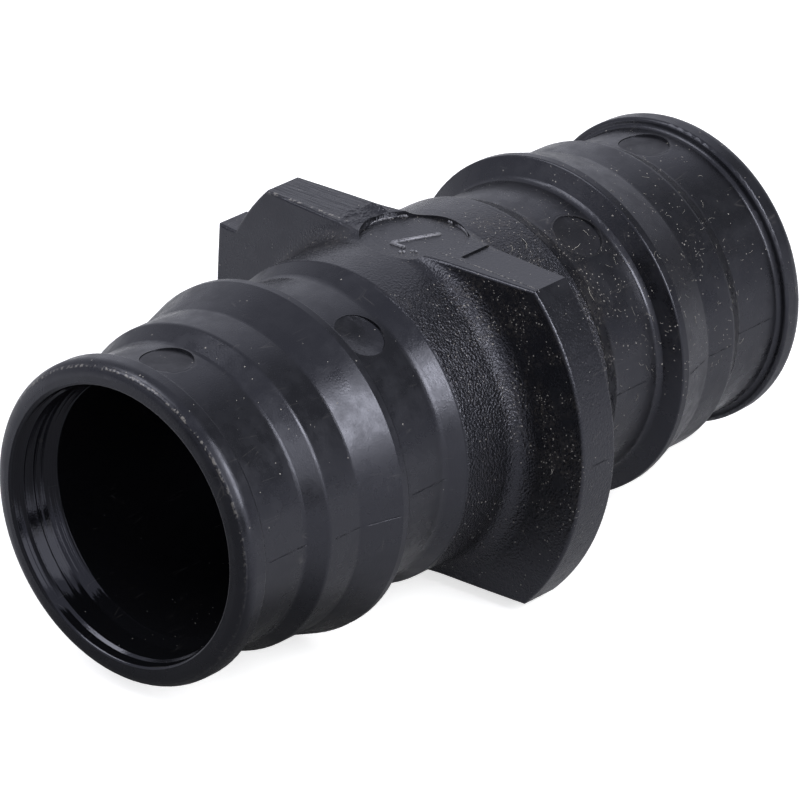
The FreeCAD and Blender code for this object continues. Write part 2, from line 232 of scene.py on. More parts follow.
class Graph:
    """A node tree that is being drawn, in rows of nodes."""

    columns = 12
    spacing = (190, -260)

    def __init__(self, tree: bpy.types.NodeTree) -> None:
        """Start from an empty tree."""
        self.tree = tree
        self.tree.nodes.clear()

    def add(
        self, kind: str, label: str = "", inputs: dict[str | int, object] | None = None, **settings: object
    ) -> bpy.types.Node:
        """Add one node.

        Args:
            kind: the node's type name.
            label: what the node is for.
            inputs: what to feed its inputs with, by name or number.
            **settings: attributes to set on it first.

        Returns:
            The new node.
        """
        row, column = divmod(len(self.tree.nodes), self.columns)
        node = self.tree.nodes.new(kind)
        node.label = label
        node.location = (column * self.spacing[0], row * self.spacing[1])
        for name, value in settings.items():
            setattr(node, name, value)
        for name, value in (inputs or {}).items():
            self.feed(node.inputs[name], value)
        return node

    def feed(self, socket: bpy.types.NodeSocket, value: object) -> None:
        """Link an input socket, or set it when the value is a plain number or colour.

        Args:
            socket: the input.
            value: a Value, an output socket, or a plain number or colour.
        """
        source = value.socket if isinstance(value, Value) else value
        if isinstance(source, bpy.types.NodeSocket):
            self.tree.links.new(source, socket)
        else:
            socket.default_value = source

    def math(self, operation: str, *values: Value | float) -> Value:
        """Add a Math node."""
        node = self.add("ShaderNodeMath", operation.lower(), dict(enumerate(values)), operation=operation)
        return Value(self, node.outputs[0])

    def mix(self, share: Value, first: Value, second: Value | float) -> Value:
        """Mix two numbers, by how much of the second one counts."""
        return Value(self, self.add("ShaderNodeMix", "mix", {0: share, 2: first, 3: second}).outputs[0])

    def blend(self, share: Value, first: Value | Colour, second: Colour) -> Value:
        """Blend two colours, by how much of the second one shows."""
        node = self.add("ShaderNodeMix", "blend", {0: share, 6: first, 7: second}, data_type="RGBA")
        return Value(self, node.outputs[2])

    def place(self) -> bpy.types.NodeSocket:
        """Look up where the shaded point lies in its object."""
        return self.add("ShaderNodeTexCoord", "place").outputs["Object"]

    def split(self, vector: bpy.types.NodeSocket, kind: str = "ShaderNodeSeparateXYZ") -> list[Value]:
        """Split a vector or a colour into its three numbers."""
        return [Value(self, socket) for socket in self.add(kind, "split", {0: vector}).outputs]

    def facing(self, label: str, vector: bpy.types.NodeSocket, way: Triple) -> Value:
        """Measure how far a vector points a given way."""
        node = self.add("ShaderNodeVectorMath", label, {0: vector, 1: way}, operation="DOT_PRODUCT")
        return Value(self, node.outputs["Value"])

    def noise(self, where: "bpy.types.NodeSocket | Value", cloud: Cloud) -> Value:
        """Add a noise texture.

        Args:
            where: a vector, or a number for noise that varies in one direction only.
            cloud: its setting.

        Returns:
            Its value.
        """
        dimensions, name = ("1D", "W") if isinstance(where, Value) else ("3D", "Vector")
        inputs = {name: where, "Scale": cloud.scale, "Detail": cloud.detail, "Roughness": cloud.roughness}
        node = self.add("ShaderNodeTexNoise", "noise", inputs, noise_dimensions=dimensions)
        return Value(self, node.outputs["Fac"])

    def turned(self, rotation: Triple, scale: Triple) -> bpy.types.NodeSocket:
        """Turn and stretch the space in which a texture lies."""
        inputs = {"Vector": self.place(), "Rotation": rotation, "Scale": scale}
        return self.add("ShaderNodeMapping", "lie", inputs).outputs["Vector"]

    def bump(self, height: Value, distance: float = 1.0) -> bpy.types.NodeSocket:
        """Turn a height into a shading normal."""
        inputs = {"Strength": 1.0, "Distance": distance, "Height": height}
        return self.add("ShaderNodeBump", "relief", inputs).outputs["Normal"]

    def group(self, group: bpy.types.NodeTree, **inputs: Value | float) -> dict[str, Value]:
        """Place a node group.

        Args:
            group: the node group.
            **inputs: what its inputs get, by name, with _ for each space.

        Returns:
            Its outputs by name.
        """
        named = {name.replace("_", " "): value for name, value in inputs.items()}
        node = self.add("ShaderNodeGroup", group.name, named, node_tree=group)
        return {socket.name: Value(self, socket) for socket in node.outputs}

    def close(self, outputs: dict[str, Value]) -> bpy.types.NodeTree:
        """Finish a node group.

        Args:
            outputs: what it puts out, by name.

        Returns:
            The group.
        """
        for name in outputs:
            self.tree.interface.new_socket(name=name, in_out="OUTPUT", socket_type="NodeSocketFloat")
        self.add("NodeGroupOutput", "out", outputs)
        return self.tree


def new_group(name: str, **inputs: float) -> tuple[Graph, dict[str, Value]]:
    """Start a shader node group.

    Args:
        name: the group's name.
        **inputs: the default of each input by name, with _ for each space.

    Returns:
        The group's graph, and its inputs as values.
    """
    tree = bpy.data.node_groups.new(name, "ShaderNodeTree")
    for key, default in inputs.items():
        label = key.replace("_", " ")
        socket = tree.interface.new_socket(name=label, in_out="INPUT", socket_type="NodeSocketFloat")
        socket.default_value = default
    graph = Graph(tree)
    start = graph.add("NodeGroupInput")
    return graph, {key: Value(graph, start.outputs[key.replace("_", " ")]) for key in inputs}


class SurfaceGroups:
    """The effects that several finishes share, built once each."""

    seam_half_width = Step(0.085 * MM, 0.035 * MM)
    seam_wander = 0.08 * MM
    seam_drift = Cloud(330.0, 1.0)
    seam_breaks, seam_shows = Cloud(420.0, 2.0), Step(0.30, 0.38)

    mark_radius = 2.7 * MM
    mark_wobble = 0.5 * MM
    mark_edge = Cloud(900.0, 2.0)
    mark_inside = Step(0.1 * MM, -0.5 * MM)
    mark_rim = (Step(0.30 * MM, 0.16 * MM), Step(-0.02 * MM, 0.10 * MM))
    mark_height = Step(14.6 * MM, 15.0 * MM)

    pit_octaves = 2.0
    pit_dulling = Step(0.3, 0.7, 0.06, -0.06)

    polish_rings, ring_share = Cloud(2600.0, 2.0), 0.12
    polish_waves, wave_share = Cloud(190.0, 2.0), 0.5
    polish_skin, skin_share = Cloud(4600.0, 2.0, 0.6), 0.75
    wave_dulling = Step(0.35, 0.65, -0.03, 0.05)
    smudges, smudge_dulling = Cloud(480.0, 4.0, 0.6), Step(0.35, 0.68, -0.04, 0.09)

    turning_drift, drift_length = Cloud(900.0), 0.30 * MM
    turning_side = Step(6.5 * MM, 10.5 * MM, 0.15)

    dust_patches, patch_shows = Cloud(260.0, 4.0, 0.6), Step(0.36, 0.62)
    dust_haze, haze_shows = Cloud(2900.0, 4.0, 0.7), Step(0.42, 0.75)
    smallest_grain, grain_spread = 0.08, 0.20

    hairlines = ((0.5, 260.0), (-0.9, 330.0))
    hairline_tilt = 0.6
    hairline_stretch = (0.12, 1.0, 1.0)
    hairline_width = Step(0.010, 0.0)
    hairline_breaks, hairline_shows = Cloud(420.0, 2.0), Step(0.55, 0.68)

    def __init__(self) -> None:
        """Build every group."""
        self.zones = self._zones()
        self.pin_mark = self._pin_mark()
        self.grain = self._grain()
        self.polish = self._polish()
        self.turning = self._turning()
        self.dust = self._dust()
        self.scratches = self._scratches()

    def _zones(self) -> bpy.types.NodeTree:
        """Masks for the coupling's zones, and for its broken parting line.

        Returns:
            The group.
        """
        graph, _ = new_group("coupling_zones")
        place = graph.place()
        x, y, z = graph.split(place)
        rise = graph.split(graph.add("ShaderNodeNewGeometry", "normal").outputs["True Normal"])[2]
        radius = graph.math("SQRT", y * y + z * z)
        measured = dict(zip(Measure, (x, y, z, abs(x), radius, rise)))
        zones: dict[str, Value] = {}
        for name, rows in ZONES.items():
            for row in rows:
                mask = None
                for limit in row:
                    eased = measured[limit.measure].step(limit.step())
                    mask = eased if mask is None else mask * eased
                zones[name] = zones[name] | mask if name in zones else mask
        wander = graph.noise(place, self.seam_drift) * self.seam_wander - self.seam_wander / 2
        line = abs(z + wander).step(self.seam_half_width)
        breaks = graph.noise(place, self.seam_breaks).step(self.seam_shows)
        zones["Seam"] = zones["Seam"] * line * breaks
        return graph.close(zones)

    def _pin_mark(self) -> bpy.types.NodeTree:
        """The round mark of a mould pin, given its place along the bore and its angle.

        Returns:
            The group.
        """
        graph, given = new_group("pin_mark", Along=0.0, Angle=0.0, Radius=self.mark_radius)
        place = graph.place()
        x, y, z = graph.split(place)
        sine, cosine = graph.math("SINE", given["Angle"]), graph.math("COSINE", given["Angle"])
        across, shift = y * cosine - z * sine, x - given["Along"]
        wobble = graph.noise(place, self.mark_edge) * self.mark_wobble - self.mark_wobble / 2
        past_edge = graph.math("SQRT", across * across + shift * shift) - given["Radius"] + wobble
        bowl = (past_edge + given["Radius"]) / given["Radius"]
        outside = (y * sine + z * cosine).step(self.mark_height)
        outer, inner = self.mark_rim
        return graph.close({
            "Inside": past_edge.step(self.mark_inside) * outside,
            "Rim": past_edge.step(outer) * past_edge.step(inner) * outside,
            "Dish": (1.0 - bowl * bowl | 0.0) * outside,
        })

    def _grain(self) -> bpy.types.NodeTree:
        """Spark-eroded grain: fine pits of about a quarter of a millimetre.

        Returns:
            The group.
        """
        graph, given = new_group("spark_grain", Scale=6000.0)
        pits = graph.noise(graph.place(), Cloud(given["Scale"], self.pit_octaves))
        return graph.close({"Height": pits, "Roughness": pits.step(self.pit_dulling)})

    def _polish(self) -> bpy.types.NodeTree:
        """The slow waves and fine rings of a turned and polished mould.

        Returns:
            The group.
        """
        graph, _ = new_group("mould_polish")
        place = graph.place()
        rings = graph.noise(graph.split(place)[0], self.polish_rings)
        waves, skin = graph.noise(place, self.polish_waves), graph.noise(place, self.polish_skin)
        smudges = graph.noise(place, self.smudges)
        return graph.close({
            "Height": rings * self.ring_share + waves * self.wave_share + skin * self.skin_share,
            "Roughness": waves.step(self.wave_dulling) + smudges.step(self.smudge_dulling),
        })

    def _turning(self) -> bpy.types.NodeTree:
        """The turned core pin's rings, as saw teeth whose long sides face the mouth.

        Returns:
            The group.
        """
        graph, given = new_group("turned_rings", Pitch=0.4 * MM, Slope=0.6)
        x, y, _ = graph.split(graph.place())
        moved = graph.noise(abs(x), self.turning_drift) * self.drift_length + abs(x)
        tooth = graph.math("FRACT", moved / given["Pitch"]) * given["Pitch"]
        return graph.close({"Height": tooth * (given["Slope"] * y.step(self.turning_side)) * -1.0})

    def _dust(self) -> bpy.types.NodeTree:
        """Storage dust: a thin film and scattered grains, gathered where a mask asks for them.

        Returns:
            The group.
        """
        graph, given = new_group("storage_dust", Gather=0.0, Grain_Scale=2400.0, Cover=0.1)
        place = graph.place()
        cells = graph.add("ShaderNodeTexVoronoi", "grains", {"Vector": place, "Scale": given["Grain_Scale"]})
        chance, size, _ = graph.split(cells.outputs["Color"], "ShaderNodeSeparateColor")
        patches = graph.noise(place, self.dust_patches).step(self.patch_shows)
        chosen = chance < patches * given["Cover"] * given["Gather"]
        grain = Value(graph, cells.outputs["Distance"]) < size * self.grain_spread + self.smallest_grain
        haze = graph.noise(place, self.dust_haze).step(self.haze_shows)
        return graph.close({"Grains": chosen * grain, "Film": patches * given["Gather"] * haze})

    def _scratches(self) -> bpy.types.NodeTree:
        """Faint hairlines from rubbing against other fittings in a box.

        Returns:
            The group.
        """
        graph, given = new_group("handling_scratches", Amount=1.0)
        breaks = graph.noise(graph.place(), self.hairline_breaks).step(self.hairline_shows)
        total = None
        for turn, scale in self.hairlines:
            lie = graph.turned((turn, turn * self.hairline_tilt, turn), self.hairline_stretch)
            inputs = {"Vector": lie, "Scale": scale}
            lines = graph.add("ShaderNodeTexVoronoi", "hairlines", inputs, feature="DISTANCE_TO_EDGE")
            mark = Value(graph, lines.outputs["Distance"]).step(self.hairline_width)
            total = mark if total is None else total | mark
        return graph.close({"Mask": total * breaks * given["Amount"]})


@dataclass(frozen=True)
class PinMark:
    """A mould pin's round mark: place, angle in degrees, depth of its dish, clearness of its outline."""

    along: float
    angle: float
    dish: float
    clear: float = 1.0


PIN_MARKS = (
    PinMark(-36.7 * MM, 0.0, 0.0),
    PinMark(36.7 * MM, 0.0, 0.0),
    PinMark(-16.8 * MM, -28.0, 0.42 * MM, 0.25),
    PinMark(16.8 * MM, -28.0, 0.22 * MM),
)


@dataclass(frozen=True)
class Dusting:
    """How fine a layer of dust is and how much of the surface it covers."""

    scale: float
    cover: float


@dataclass(frozen=True)
class Finish:
    """A finish, whose looks the finishes below give."""

    name: str

    def looks(self, graph: Graph, groups: SurfaceGroups) -> dict[str, object]:
        """Work out what feeds the shader, by its inputs."""
        raise NotImplementedError

    def build(self, groups: SurfaceGroups) -> bpy.types.Material:
        """Make the material.

        Args:
            groups: the shared effects.

        Returns:
            The finished material.
        """
        material = bpy.data.materials.new(self.name)
        material.use_nodes = True
        graph = Graph(material.node_tree)
        out = graph.add("ShaderNodeOutputMaterial")
        shader = graph.add("ShaderNodeBsdfPrincipled")
        for name, value in self.looks(graph, groups).items():
            graph.feed(shader.inputs[name], value)
        graph.feed(out.inputs["Surface"], shader.outputs[0])
        return material


@dataclass(frozen=True)
class PolymerFinish(Finish):
    """The black moulded polymer, satin on the barrels and spark-textured in the middle.

    Masks are named as in ZONES, and Inside, Rim and Dish are those of the pin marks.
    """

    colour: Colour = (0.0058, 0.0060, 0.0072, 1.0)
    # Colour layers over the base: painted shade in the pin marks' dimples and the parting line's groove, a
    # brown tint at the tab's root, a dust film, and pale marks of dust, wear and a painted edge highlight.
    layers: Sequence[tuple[str, float, Colour]] = (
        ("Painted Hollow Shade", 1.0, (0.0040, 0.0038, 0.0038, 1.0)),
        ("Near Root", 0.12, (0.035, 0.030, 0.024, 1.0)),
        ("Film", 0.20, (0.17, 0.145, 0.115, 1.0)),
        ("Pale Marks And Highlight", 1.0, (0.36, 0.34, 0.31, 1.0)),
    )
    # Painted shade: how strongly the darker layer lies along the parting line's groove.
    seam_shade: float = 0.9
    # Masks that turn pale: dust grains, hairlines, the pin marks' rims, and the painted edge highlight.
    paled: Shares = (("Grains", 0.85), ("Hairlines", 0.12), ("Rim", 0.02), ("Painted Edge Highlight", 1.0))
    scratches: float = 0.6
    # Painted highlight along the lip lines, stronger where the surface faces up.
    edge_highlight: Cloud = Cloud(2600.0, 2.0)
    highlight_shows: Step = Step(0.50, 0.62)
    highlight_share: float = 0.08
    highlight_upward: float = 0.50

    rough_barrel: float = 0.27
    rough_texture: float = 0.17
    rough_zones: Shares = (("Flats", 0.25), ("Bore", 0.24), ("Land", 0.08))
    roughened: Shares = (("Near Root", 0.22), ("Inside", 0.16), ("Film", 0.14), ("Grains", 0.4))

    grain_scale: float = 3800.0
    grain_depth: float = 0.19 * MM
    polish_depth: float = 0.016 * MM
    ring_pitch: float = 0.30 * MM
    ring_slope: float = 0.60
    raised: Shares = (
        ("Lip Line", 0.03 * MM), ("Grains", 0.02 * MM), ("Seam", -0.03 * MM), ("Rim", -0.012 * MM)
    )
    drag: Cloud = Cloud(2300.0, 3.0, 0.6)
    drag_depth: float = 0.16 * MM
    drag_turn: Triple = (0.0, 0.0, -0.10)
    drag_stretch: Triple = (1.0, 0.10, 1.0)

    specks: Dusting = Dusting(3100.0, 0.22)
    grit: Dusting = Dusting(3300.0, 0.66)
    grit_strength: float = 0.75
    dirt_near_root: float = 0.7
    specks_dirty: float = 0.9
    specks_upward: float = 0.16
    specks_textured: float = 0.40
    specks_far_barrel: float = 0.75
    grit_far_barrel: float = 0.25
    # Pale grains on the textured middle, for its fine bright dots.
    pale_dots_textured: float = 0.32

    def looks(self, graph: Graph, groups: SurfaceGroups) -> dict[str, object]:
        """Work out the looks.

        Args:
            graph: the material's graph.
            groups: the shared effects.

        Returns:
            What feeds the shader, by its inputs.
        """
        masks = graph.group(groups.zones)
        grain = graph.group(groups.grain, Scale=self.grain_scale)
        polish = graph.group(groups.polish)
        self._add_marks(graph, groups, masks)
        self._add_dirt(graph, groups, masks)
        self._add_shade_and_pale_marks(graph, groups, masks)
        colour = self.colour
        for name, share, tint in self.layers:
            colour = graph.blend(masks[name] * share, colour, tint)
        satin, sparked = polish["Roughness"] + self.rough_barrel, grain["Roughness"] + self.rough_texture
        rough = graph.mix(masks["Textured"], satin, sparked)
        for name, value in self.rough_zones:
            rough = graph.mix(masks[name], rough, value)
        for name, share in self.roughened:
            rough = rough + masks[name] * share
        smooth, coarse = polish["Height"] * self.polish_depth, grain["Height"] * self.grain_depth
        height = graph.mix(masks["Textured"], smooth, coarse) + self._tooling(graph, groups, masks)
        for name, depth in self.raised:
            height = height + masks[name] * depth
        normal = graph.bump(height - masks["Dish"])
        return LUSTRE | {"Base Color": colour, "Roughness": rough, "Normal": normal}

    @staticmethod
    def _add_marks(graph: Graph, groups: SurfaceGroups, masks: dict[str, Value]) -> None:
        """Add the pin marks: the masks of their insides and rims, and the depth of their dishes.

        Args:
            graph: the material's graph.
            groups: the shared effects.
            masks: the masks so far.
        """
        for mark in PIN_MARKS:
            one = graph.group(groups.pin_mark, Along=mark.along, Angle=math.radians(mark.angle))
            for name, share in (("Inside", mark.clear), ("Rim", mark.clear), ("Dish", mark.dish)):
                value = one[name] * share
                masks[name] = masks[name] | value if name in masks else value

    def _add_dirt(self, graph: Graph, groups: SurfaceGroups, masks: dict[str, Value]) -> None:
        """Add the masks of the dust: loose specks, and finer grit with its film.

        Args:
            graph: the material's graph.
            groups: the shared effects.
            masks: the masks so far.
        """
        dirty = masks["Far Root"] | masks["Flange Face"] | masks["Near Root"] * self.dirt_near_root
        upward = masks["Up"] * (masks["Textured"] * self.specks_textured + self.specks_upward)
        gather = upward + dirty * self.specks_dirty | masks["Far Barrel"] * self.specks_far_barrel
        thin = masks["Far Barrel"] * self.grit_far_barrel | masks["Textured"] * self.pale_dots_textured
        specks, grit = (
            graph.group(groups.dust, Gather=mask, Grain_Scale=layer.scale, Cover=layer.cover)
            for mask, layer in ((gather, self.specks), (dirty | thin, self.grit))
        )
        masks["Grains"] = specks["Grains"] | grit["Grains"] * self.grit_strength
        masks["Film"] = grit["Film"]

    def _add_shade_and_pale_marks(self, graph: Graph, groups: SurfaceGroups, masks: dict[str, Value]) -> None:
        """Add the masks of the painted shade in hollows, and of what is painted pale: wear, dust and a
        painted edge highlight.

        Args:
            graph: the material's graph.
            groups: the shared effects.
            masks: the masks so far.
        """
        # Painted shade: darker inside the pin marks' dimples and along the parting line's groove.
        masks["Painted Hollow Shade"] = masks["Inside"] | masks["Seam"] * self.seam_shade
        masks["Hairlines"] = graph.group(groups.scratches, Amount=self.scratches)["Mask"]
        # Painted highlight: a pale broken line along the lip lines, stronger where the surface faces up.
        edge_highlight = graph.noise(graph.place(), self.edge_highlight).step(self.highlight_shows) * masks["Lip Line"]
        masks["Painted Edge Highlight"] = edge_highlight * (masks["Up"] * self.highlight_upward + self.highlight_share)
        for name, share in self.paled:
            pale = masks[name] * share
            masks["Pale Marks And Highlight"] = masks["Pale Marks And Highlight"] | pale if "Pale Marks And Highlight" in masks else pale

    def _tooling(self, graph: Graph, groups: SurfaceGroups, masks: dict[str, Value]) -> Value:
        """Work out the relief of the mouth's turned rings and of the drag marks on the tab's flat.

        Args:
            graph: the material's graph.
            groups: the shared effects.
            masks: the masks.

        Returns:
            The height in metres.
        """
        rings = graph.group(groups.turning, Pitch=self.ring_pitch, Slope=self.ring_slope)["Height"]
        drag = graph.noise(graph.turned(self.drag_turn, self.drag_stretch), self.drag) * self.drag_depth
        return masks["Land"] * rings + masks["Tab Flat"] * drag


@dataclass(frozen=True)
class TornFinish(Finish):
    """Polymer that has been cut or torn: rougher, with paler crests on its grain."""

    colour: Colour = (0.0085, 0.0088, 0.0105, 1.0)
    pale: Colour = (0.05, 0.05, 0.055, 1.0)
    pale_crests: Step = Step(0.55, 0.75, 0.0, 0.35)
    roughness: float = 0.30
    grain_scale: float = 4200.0
    grain_depth: float = 0.03 * MM
    dust: Dusting = Dusting(2600.0, 0.12)

    def looks(self, graph: Graph, groups: SurfaceGroups) -> dict[str, object]:
        """Work out the looks.

        Args:
            graph: the material's graph.
            groups: the shared effects.

        Returns:
            What feeds the shader, by its inputs.
        """
        grain = graph.group(groups.grain, Scale=self.grain_scale)
        dust = graph.group(groups.dust, Gather=1.0, Grain_Scale=self.dust.scale, Cover=self.dust.cover)
        pale = grain["Height"].step(self.pale_crests) | dust["Grains"]
        return LUSTRE | {
            "Base Color": graph.blend(pale, self.colour, self.pale),
            "Roughness": grain["Roughness"] + self.roughness,
            "Normal": graph.bump(grain["Height"], self.grain_depth),
        }


@dataclass(frozen=True)
class LintFinish(Finish):
    """Pale lint and grit."""

    colour: Colour = (0.50, 0.49, 0.46, 1.0)
    shade: Colour = (0.27, 0.25, 0.22, 1.0)
    shaded: Step = Step(0.4, 0.6)
    roughness: float = 0.8
    grain_scale: float = 9000.0

    def looks(self, graph: Graph, groups: SurfaceGroups) -> dict[str, object]:
        """Work out what feeds the shader, by its inputs."""
        shaded = graph.group(groups.grain, Scale=self.grain_scale)["Height"].step(self.shaded)
        return {"Base Color": graph.blend(shaded, self.colour, self.shade), "Roughness": self.roughness}


class Skin:
    """The coupling's own surface, on which small pieces are set down.

    Angles are in radians from the top towards the tab side. What is found is a place and
    the normal there, or None where a ray misses.
    """

    def __init__(self, node: bpy.types.Object) -> None:
        """Index the mesh of the coupling's CAD object."""
        corners = [vertex.co.copy() for vertex in node.data.vertices]
        self._tree = BVHTree.FromPolygons(corners, [tuple(face.vertices) for face in node.data.polygons])

    def under(self, start: Vector, direction: Vector) -> Found | None:
        """Find the surface along a ray."""
        place, normal, _, _ = self._tree.ray_cast(start, direction)
        return None if place is None else (place, normal)

    def barrel(self, along: float, angle: float) -> Found | None:
        """Find the outer surface at a place along the bore and an angle round it."""
        outward = Vector((0.0, math.sin(angle), math.cos(angle)))
        return self.under(X_AXIS * along + outward * CLEAR, -outward)

    def bore(self, along: float, angle: float) -> Found | None:
        """Find the bore's wall at a place along it and an angle round it.

        Args:
            along: place along the bore.
            angle: angle round it.

        Returns:
            The place and the normal towards the bore's axis, or None if the ray misses.
        """
        outward = Vector((0.0, math.sin(angle), math.cos(angle)))
        found = self.under(X_AXIS * along, outward)
        return None if found is None else (found[0], -outward)


def mesh_piece(name: str, mesh: bmesh.types.BMesh, material: bpy.types.Material) -> bpy.types.Object:
    """Turn a bmesh into a dressed, smoothly shaded piece that rides on the coupling.

    Args:
        name: the piece's name.
        mesh: the geometry, freed here.
        material: its finish.

    Returns:
        The new object.
    """
    bmesh.ops.recalc_face_normals(mesh, faces=mesh.faces)
    data = bpy.data.meshes.new(name)
    mesh.to_mesh(data)
    mesh.free()
    for face in data.polygons:
        face.use_smooth = True
    data.materials.append(material)
    piece = bpy.data.objects.new(name, data)
    bpy.context.scene.collection.objects.link(piece)
    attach(piece, BODY)
    return piece


def sweep(
    mesh: bmesh.types.BMesh,
    path: Sequence[Vector],
    ups: Sequence[Vector],
    section: Sequence[Pair],
    scales: Sequence[float],
) -> None:
    """Sweep a small closed section along a path and cap its ends.

    Args:
        mesh: the mesh to add to.
        path: points of the path.
        ups: the surface normal at each point.
        section: points across and up, in order.
        scales: the section's size at each point, as a share.
    """
    rows = []
    for index, (point, up, share) in enumerate(zip(path, ups, scales)):
        ahead = path[min(index + 1, len(path) - 1)] - path[max(index - 1, 0)]
        across = ahead.cross(up).normalized()
        rise = across.cross(ahead).normalized()
        rows.append([mesh.verts.new(point + across * (a * share) + rise * (b * share)) for a, b in section])
    for first, second in zip(rows, rows[1:]):
        for index in range(len(section)):
            following = (index + 1) % len(section)
            mesh.faces.new((first[index], first[following], second[following], second[index]))
    mesh.faces.new(list(reversed(rows[0])))
    mesh.faces.new(rows[-1])


@dataclass
class MouldedBody:
    """The coupling's solid, dressed in its polymer."""

    node: bpy.types.Object
    finish: bpy.types.Material

    def dress(self) -> None:
        """Give the solid its finish."""
        self.node.data.materials.clear()
        self.node.data.materials.append(self.finish)


@dataclass
class PartingLine:
    """Burrs of flash where the mould halves met, along both sides of the coupling.

    The lengths of the burrs and of the gaps between them are in millimetres.
    """

    skin: Skin
    finish: bpy.types.Material
    step: float = 0.12 * MM
    fewest_points: int = 3
    width: float = 0.07 * MM
    height: float = 0.03 * MM
    sink: float = 0.02 * MM
    burr_length: Pair = (0.6, 2.6)
    gap_length: Pair = (0.2, 1.1)
    thickness: Pair = (0.5, 1.2)
    end_thickness: float = 0.25

    def build(self, side: Side, seed: int) -> bpy.types.Object:
        """Lay the burrs along one side.

        Args:
            side: which side of the coupling.
            seed: seed for where they lie.

        Returns:
            The burrs, as one piece.
        """
        chance = random.Random(seed)
        mesh = bmesh.new()
        for start, end in self._runs(chance):
            self._lay(mesh, side, start, end, chance)
        return mesh_piece(f"parting_burrs_{side.name.lower()}", mesh, self.finish)

    def _runs(self, chance: random.Random) -> list[Pair]:
        """Break the seam's runs into shorter burrs, on both sides of the flange.

        Args:
            chance: where the lengths are drawn from.

        Returns:
            The start and the end of each burr.
        """
        runs = []
        for start, end in SEAM_RUNS:
            place = start
            while place < end:
                stop = min(place + chance.uniform(*self.burr_length), end)
                runs += [(place * MM, stop * MM), (-stop * MM, -place * MM)]
                place = stop + chance.uniform(*self.gap_length)
        return runs

    def _lay(
        self, mesh: bmesh.types.BMesh, side: Side, start: float, end: float, chance: random.Random
    ) -> None:
        """Sweep one burr along the surface.

        Args:
            mesh: the mesh to add to.
            side: which side of the coupling.
            start: where the burr starts along the bore.
            end: where it ends.
            chance: where its thicknesses are drawn from.
        """
        count = max(self.fewest_points, int((end - start) / self.step))
        places = [start + (end - start) * index / count for index in range(count + 1)]
        hits = [self.skin.barrel(place, side.value * math.pi / 2) for place in places]
        path = [hit[0] for hit in hits if hit is not None]
        if len(path) < self.fewest_points:
            return
        scales = [chance.uniform(*self.thickness) for _ in path]
        scales[0] = scales[-1] = self.end_thickness
        half, sink = self.width / 2, -self.sink
        section = [(-half, sink), (-half * 0.35, self.height), (half * 0.35, self.height * 0.9), (half, sink)]
        sweep(mesh, path, [Vector((0.0, side.value, 0.0))] * len(path), section, scales)


@dataclass
class DateArrow:
    """The raised arrow of the round mould insert on top of the flange, with stray dots beside it."""

    finish: bpy.types.Material
    face_height: float = 16.85 * MM
    tail: Pair = (2.75 * MM, -1.2 * MM)
    tip: Pair = (-2.5 * MM, 1.02 * MM)
    barb: Pair = (-2.4 * MM, -0.85 * MM)
    width: float = 0.42 * MM
    height: float = 0.24 * MM
    sink: float = 0.05 * MM
    arch_sides: int = 12
    sizes: Sequence[Pair] = ((0.0, 0.55), (0.04, 1.0), (0.5, 1.0), (0.96, 1.0), (1.0, 0.55))
    dot_radius: float = 0.18 * MM
    dots: Sequence[Pair] = (
        (-3.48 * MM, -1.11 * MM),
        (-3.20 * MM, -1.40 * MM),
        (-2.46 * MM, -1.82 * MM),
        (-2.36 * MM, -2.27 * MM),
    )

    def build(self) -> bpy.types.Object:
        """Model the shaft, its half head and the dots as low, round-backed relief.

        Returns:
            The arrow.
        """
        mesh = bmesh.new()
        half = self.width / 2
        turns = [math.pi * index / self.arch_sides for index in range(self.arch_sides + 1)]
        arch = [(half * math.cos(turn), self.height * math.sin(turn)) for turn in turns]
        section = [(half, -self.sink), *arch, (-half, -self.sink)]
        for start, end in ((self.tail, self.tip), (self.tip, self.barb)):
            first, last = Vector((*start, self.face_height)), Vector((*end, self.face_height))
            path = [first.lerp(last, share) for share, _ in self.sizes]
            sweep(mesh, path, [UP] * len(path), section, [size for _, size in self.sizes])
        for x, y in self.dots:
            place = Matrix.Translation(Vector((x, y, self.face_height)))
            bmesh.ops.create_icosphere(mesh, subdivisions=2, radius=self.dot_radius, matrix=place)
        return mesh_piece("date_arrow", mesh, self.finish)


@dataclass
class InsertFlash:
    """Shiny flash squeezed up round the far edge of the round insert, in arcs given in degrees."""

    finish: bpy.types.Material
    radius: float = 5.48 * MM
    wander: float = 0.02
    floor_height: float = 16.83 * MM
    width: float = 0.20 * MM
    height: float = 0.26 * MM
    sink: float = 0.04 * MM
    arcs: Sequence[Pair] = ((-40.0, -8.0), (-4.0, 3.0), (47.0, 60.0), (63.0, 96.0))
    points_per_degree: float = 1.5
    fewest_points: int = 4
    thickness: Pair = (0.75, 1.1)
    end_thickness: float = 0.25
    end_growth: float = 4.0
    seed: int = 12

    def build(self) -> bpy.types.Object:
        """Sweep the flash along each arc of the insert's edge.

        Returns:
            The flash.
        """
        chance = random.Random(self.seed)
        mesh = bmesh.new()
        half = self.width / 2
        section = [(half, -self.sink), (half * 0.8, self.height * 0.5), (half * 0.2, self.height)]
        section += [(-half * 0.3, self.height * 0.9), (-half, -self.sink)]
        for start, end in self.arcs:
            count = max(self.fewest_points, int((end - start) * self.points_per_degree))
            path, scales = [], []
            for index in range(count + 1):
                turn = math.radians(start + (end - start) * index / count)
                reach = self.radius + chance.uniform(-self.wander, self.wander) * MM
                path.append(Vector((reach * math.cos(turn), reach * math.sin(turn), self.floor_height)))
            for index in range(count + 1):
                growth = self.end_thickness + self.end_growth * min(index, count - index) / count
                scales.append(chance.uniform(*self.thickness) * min(1.0, growth))
            sweep(mesh, path, [UP] * len(path), section, scales)
        return mesh_piece("insert_flash", mesh, self.finish)


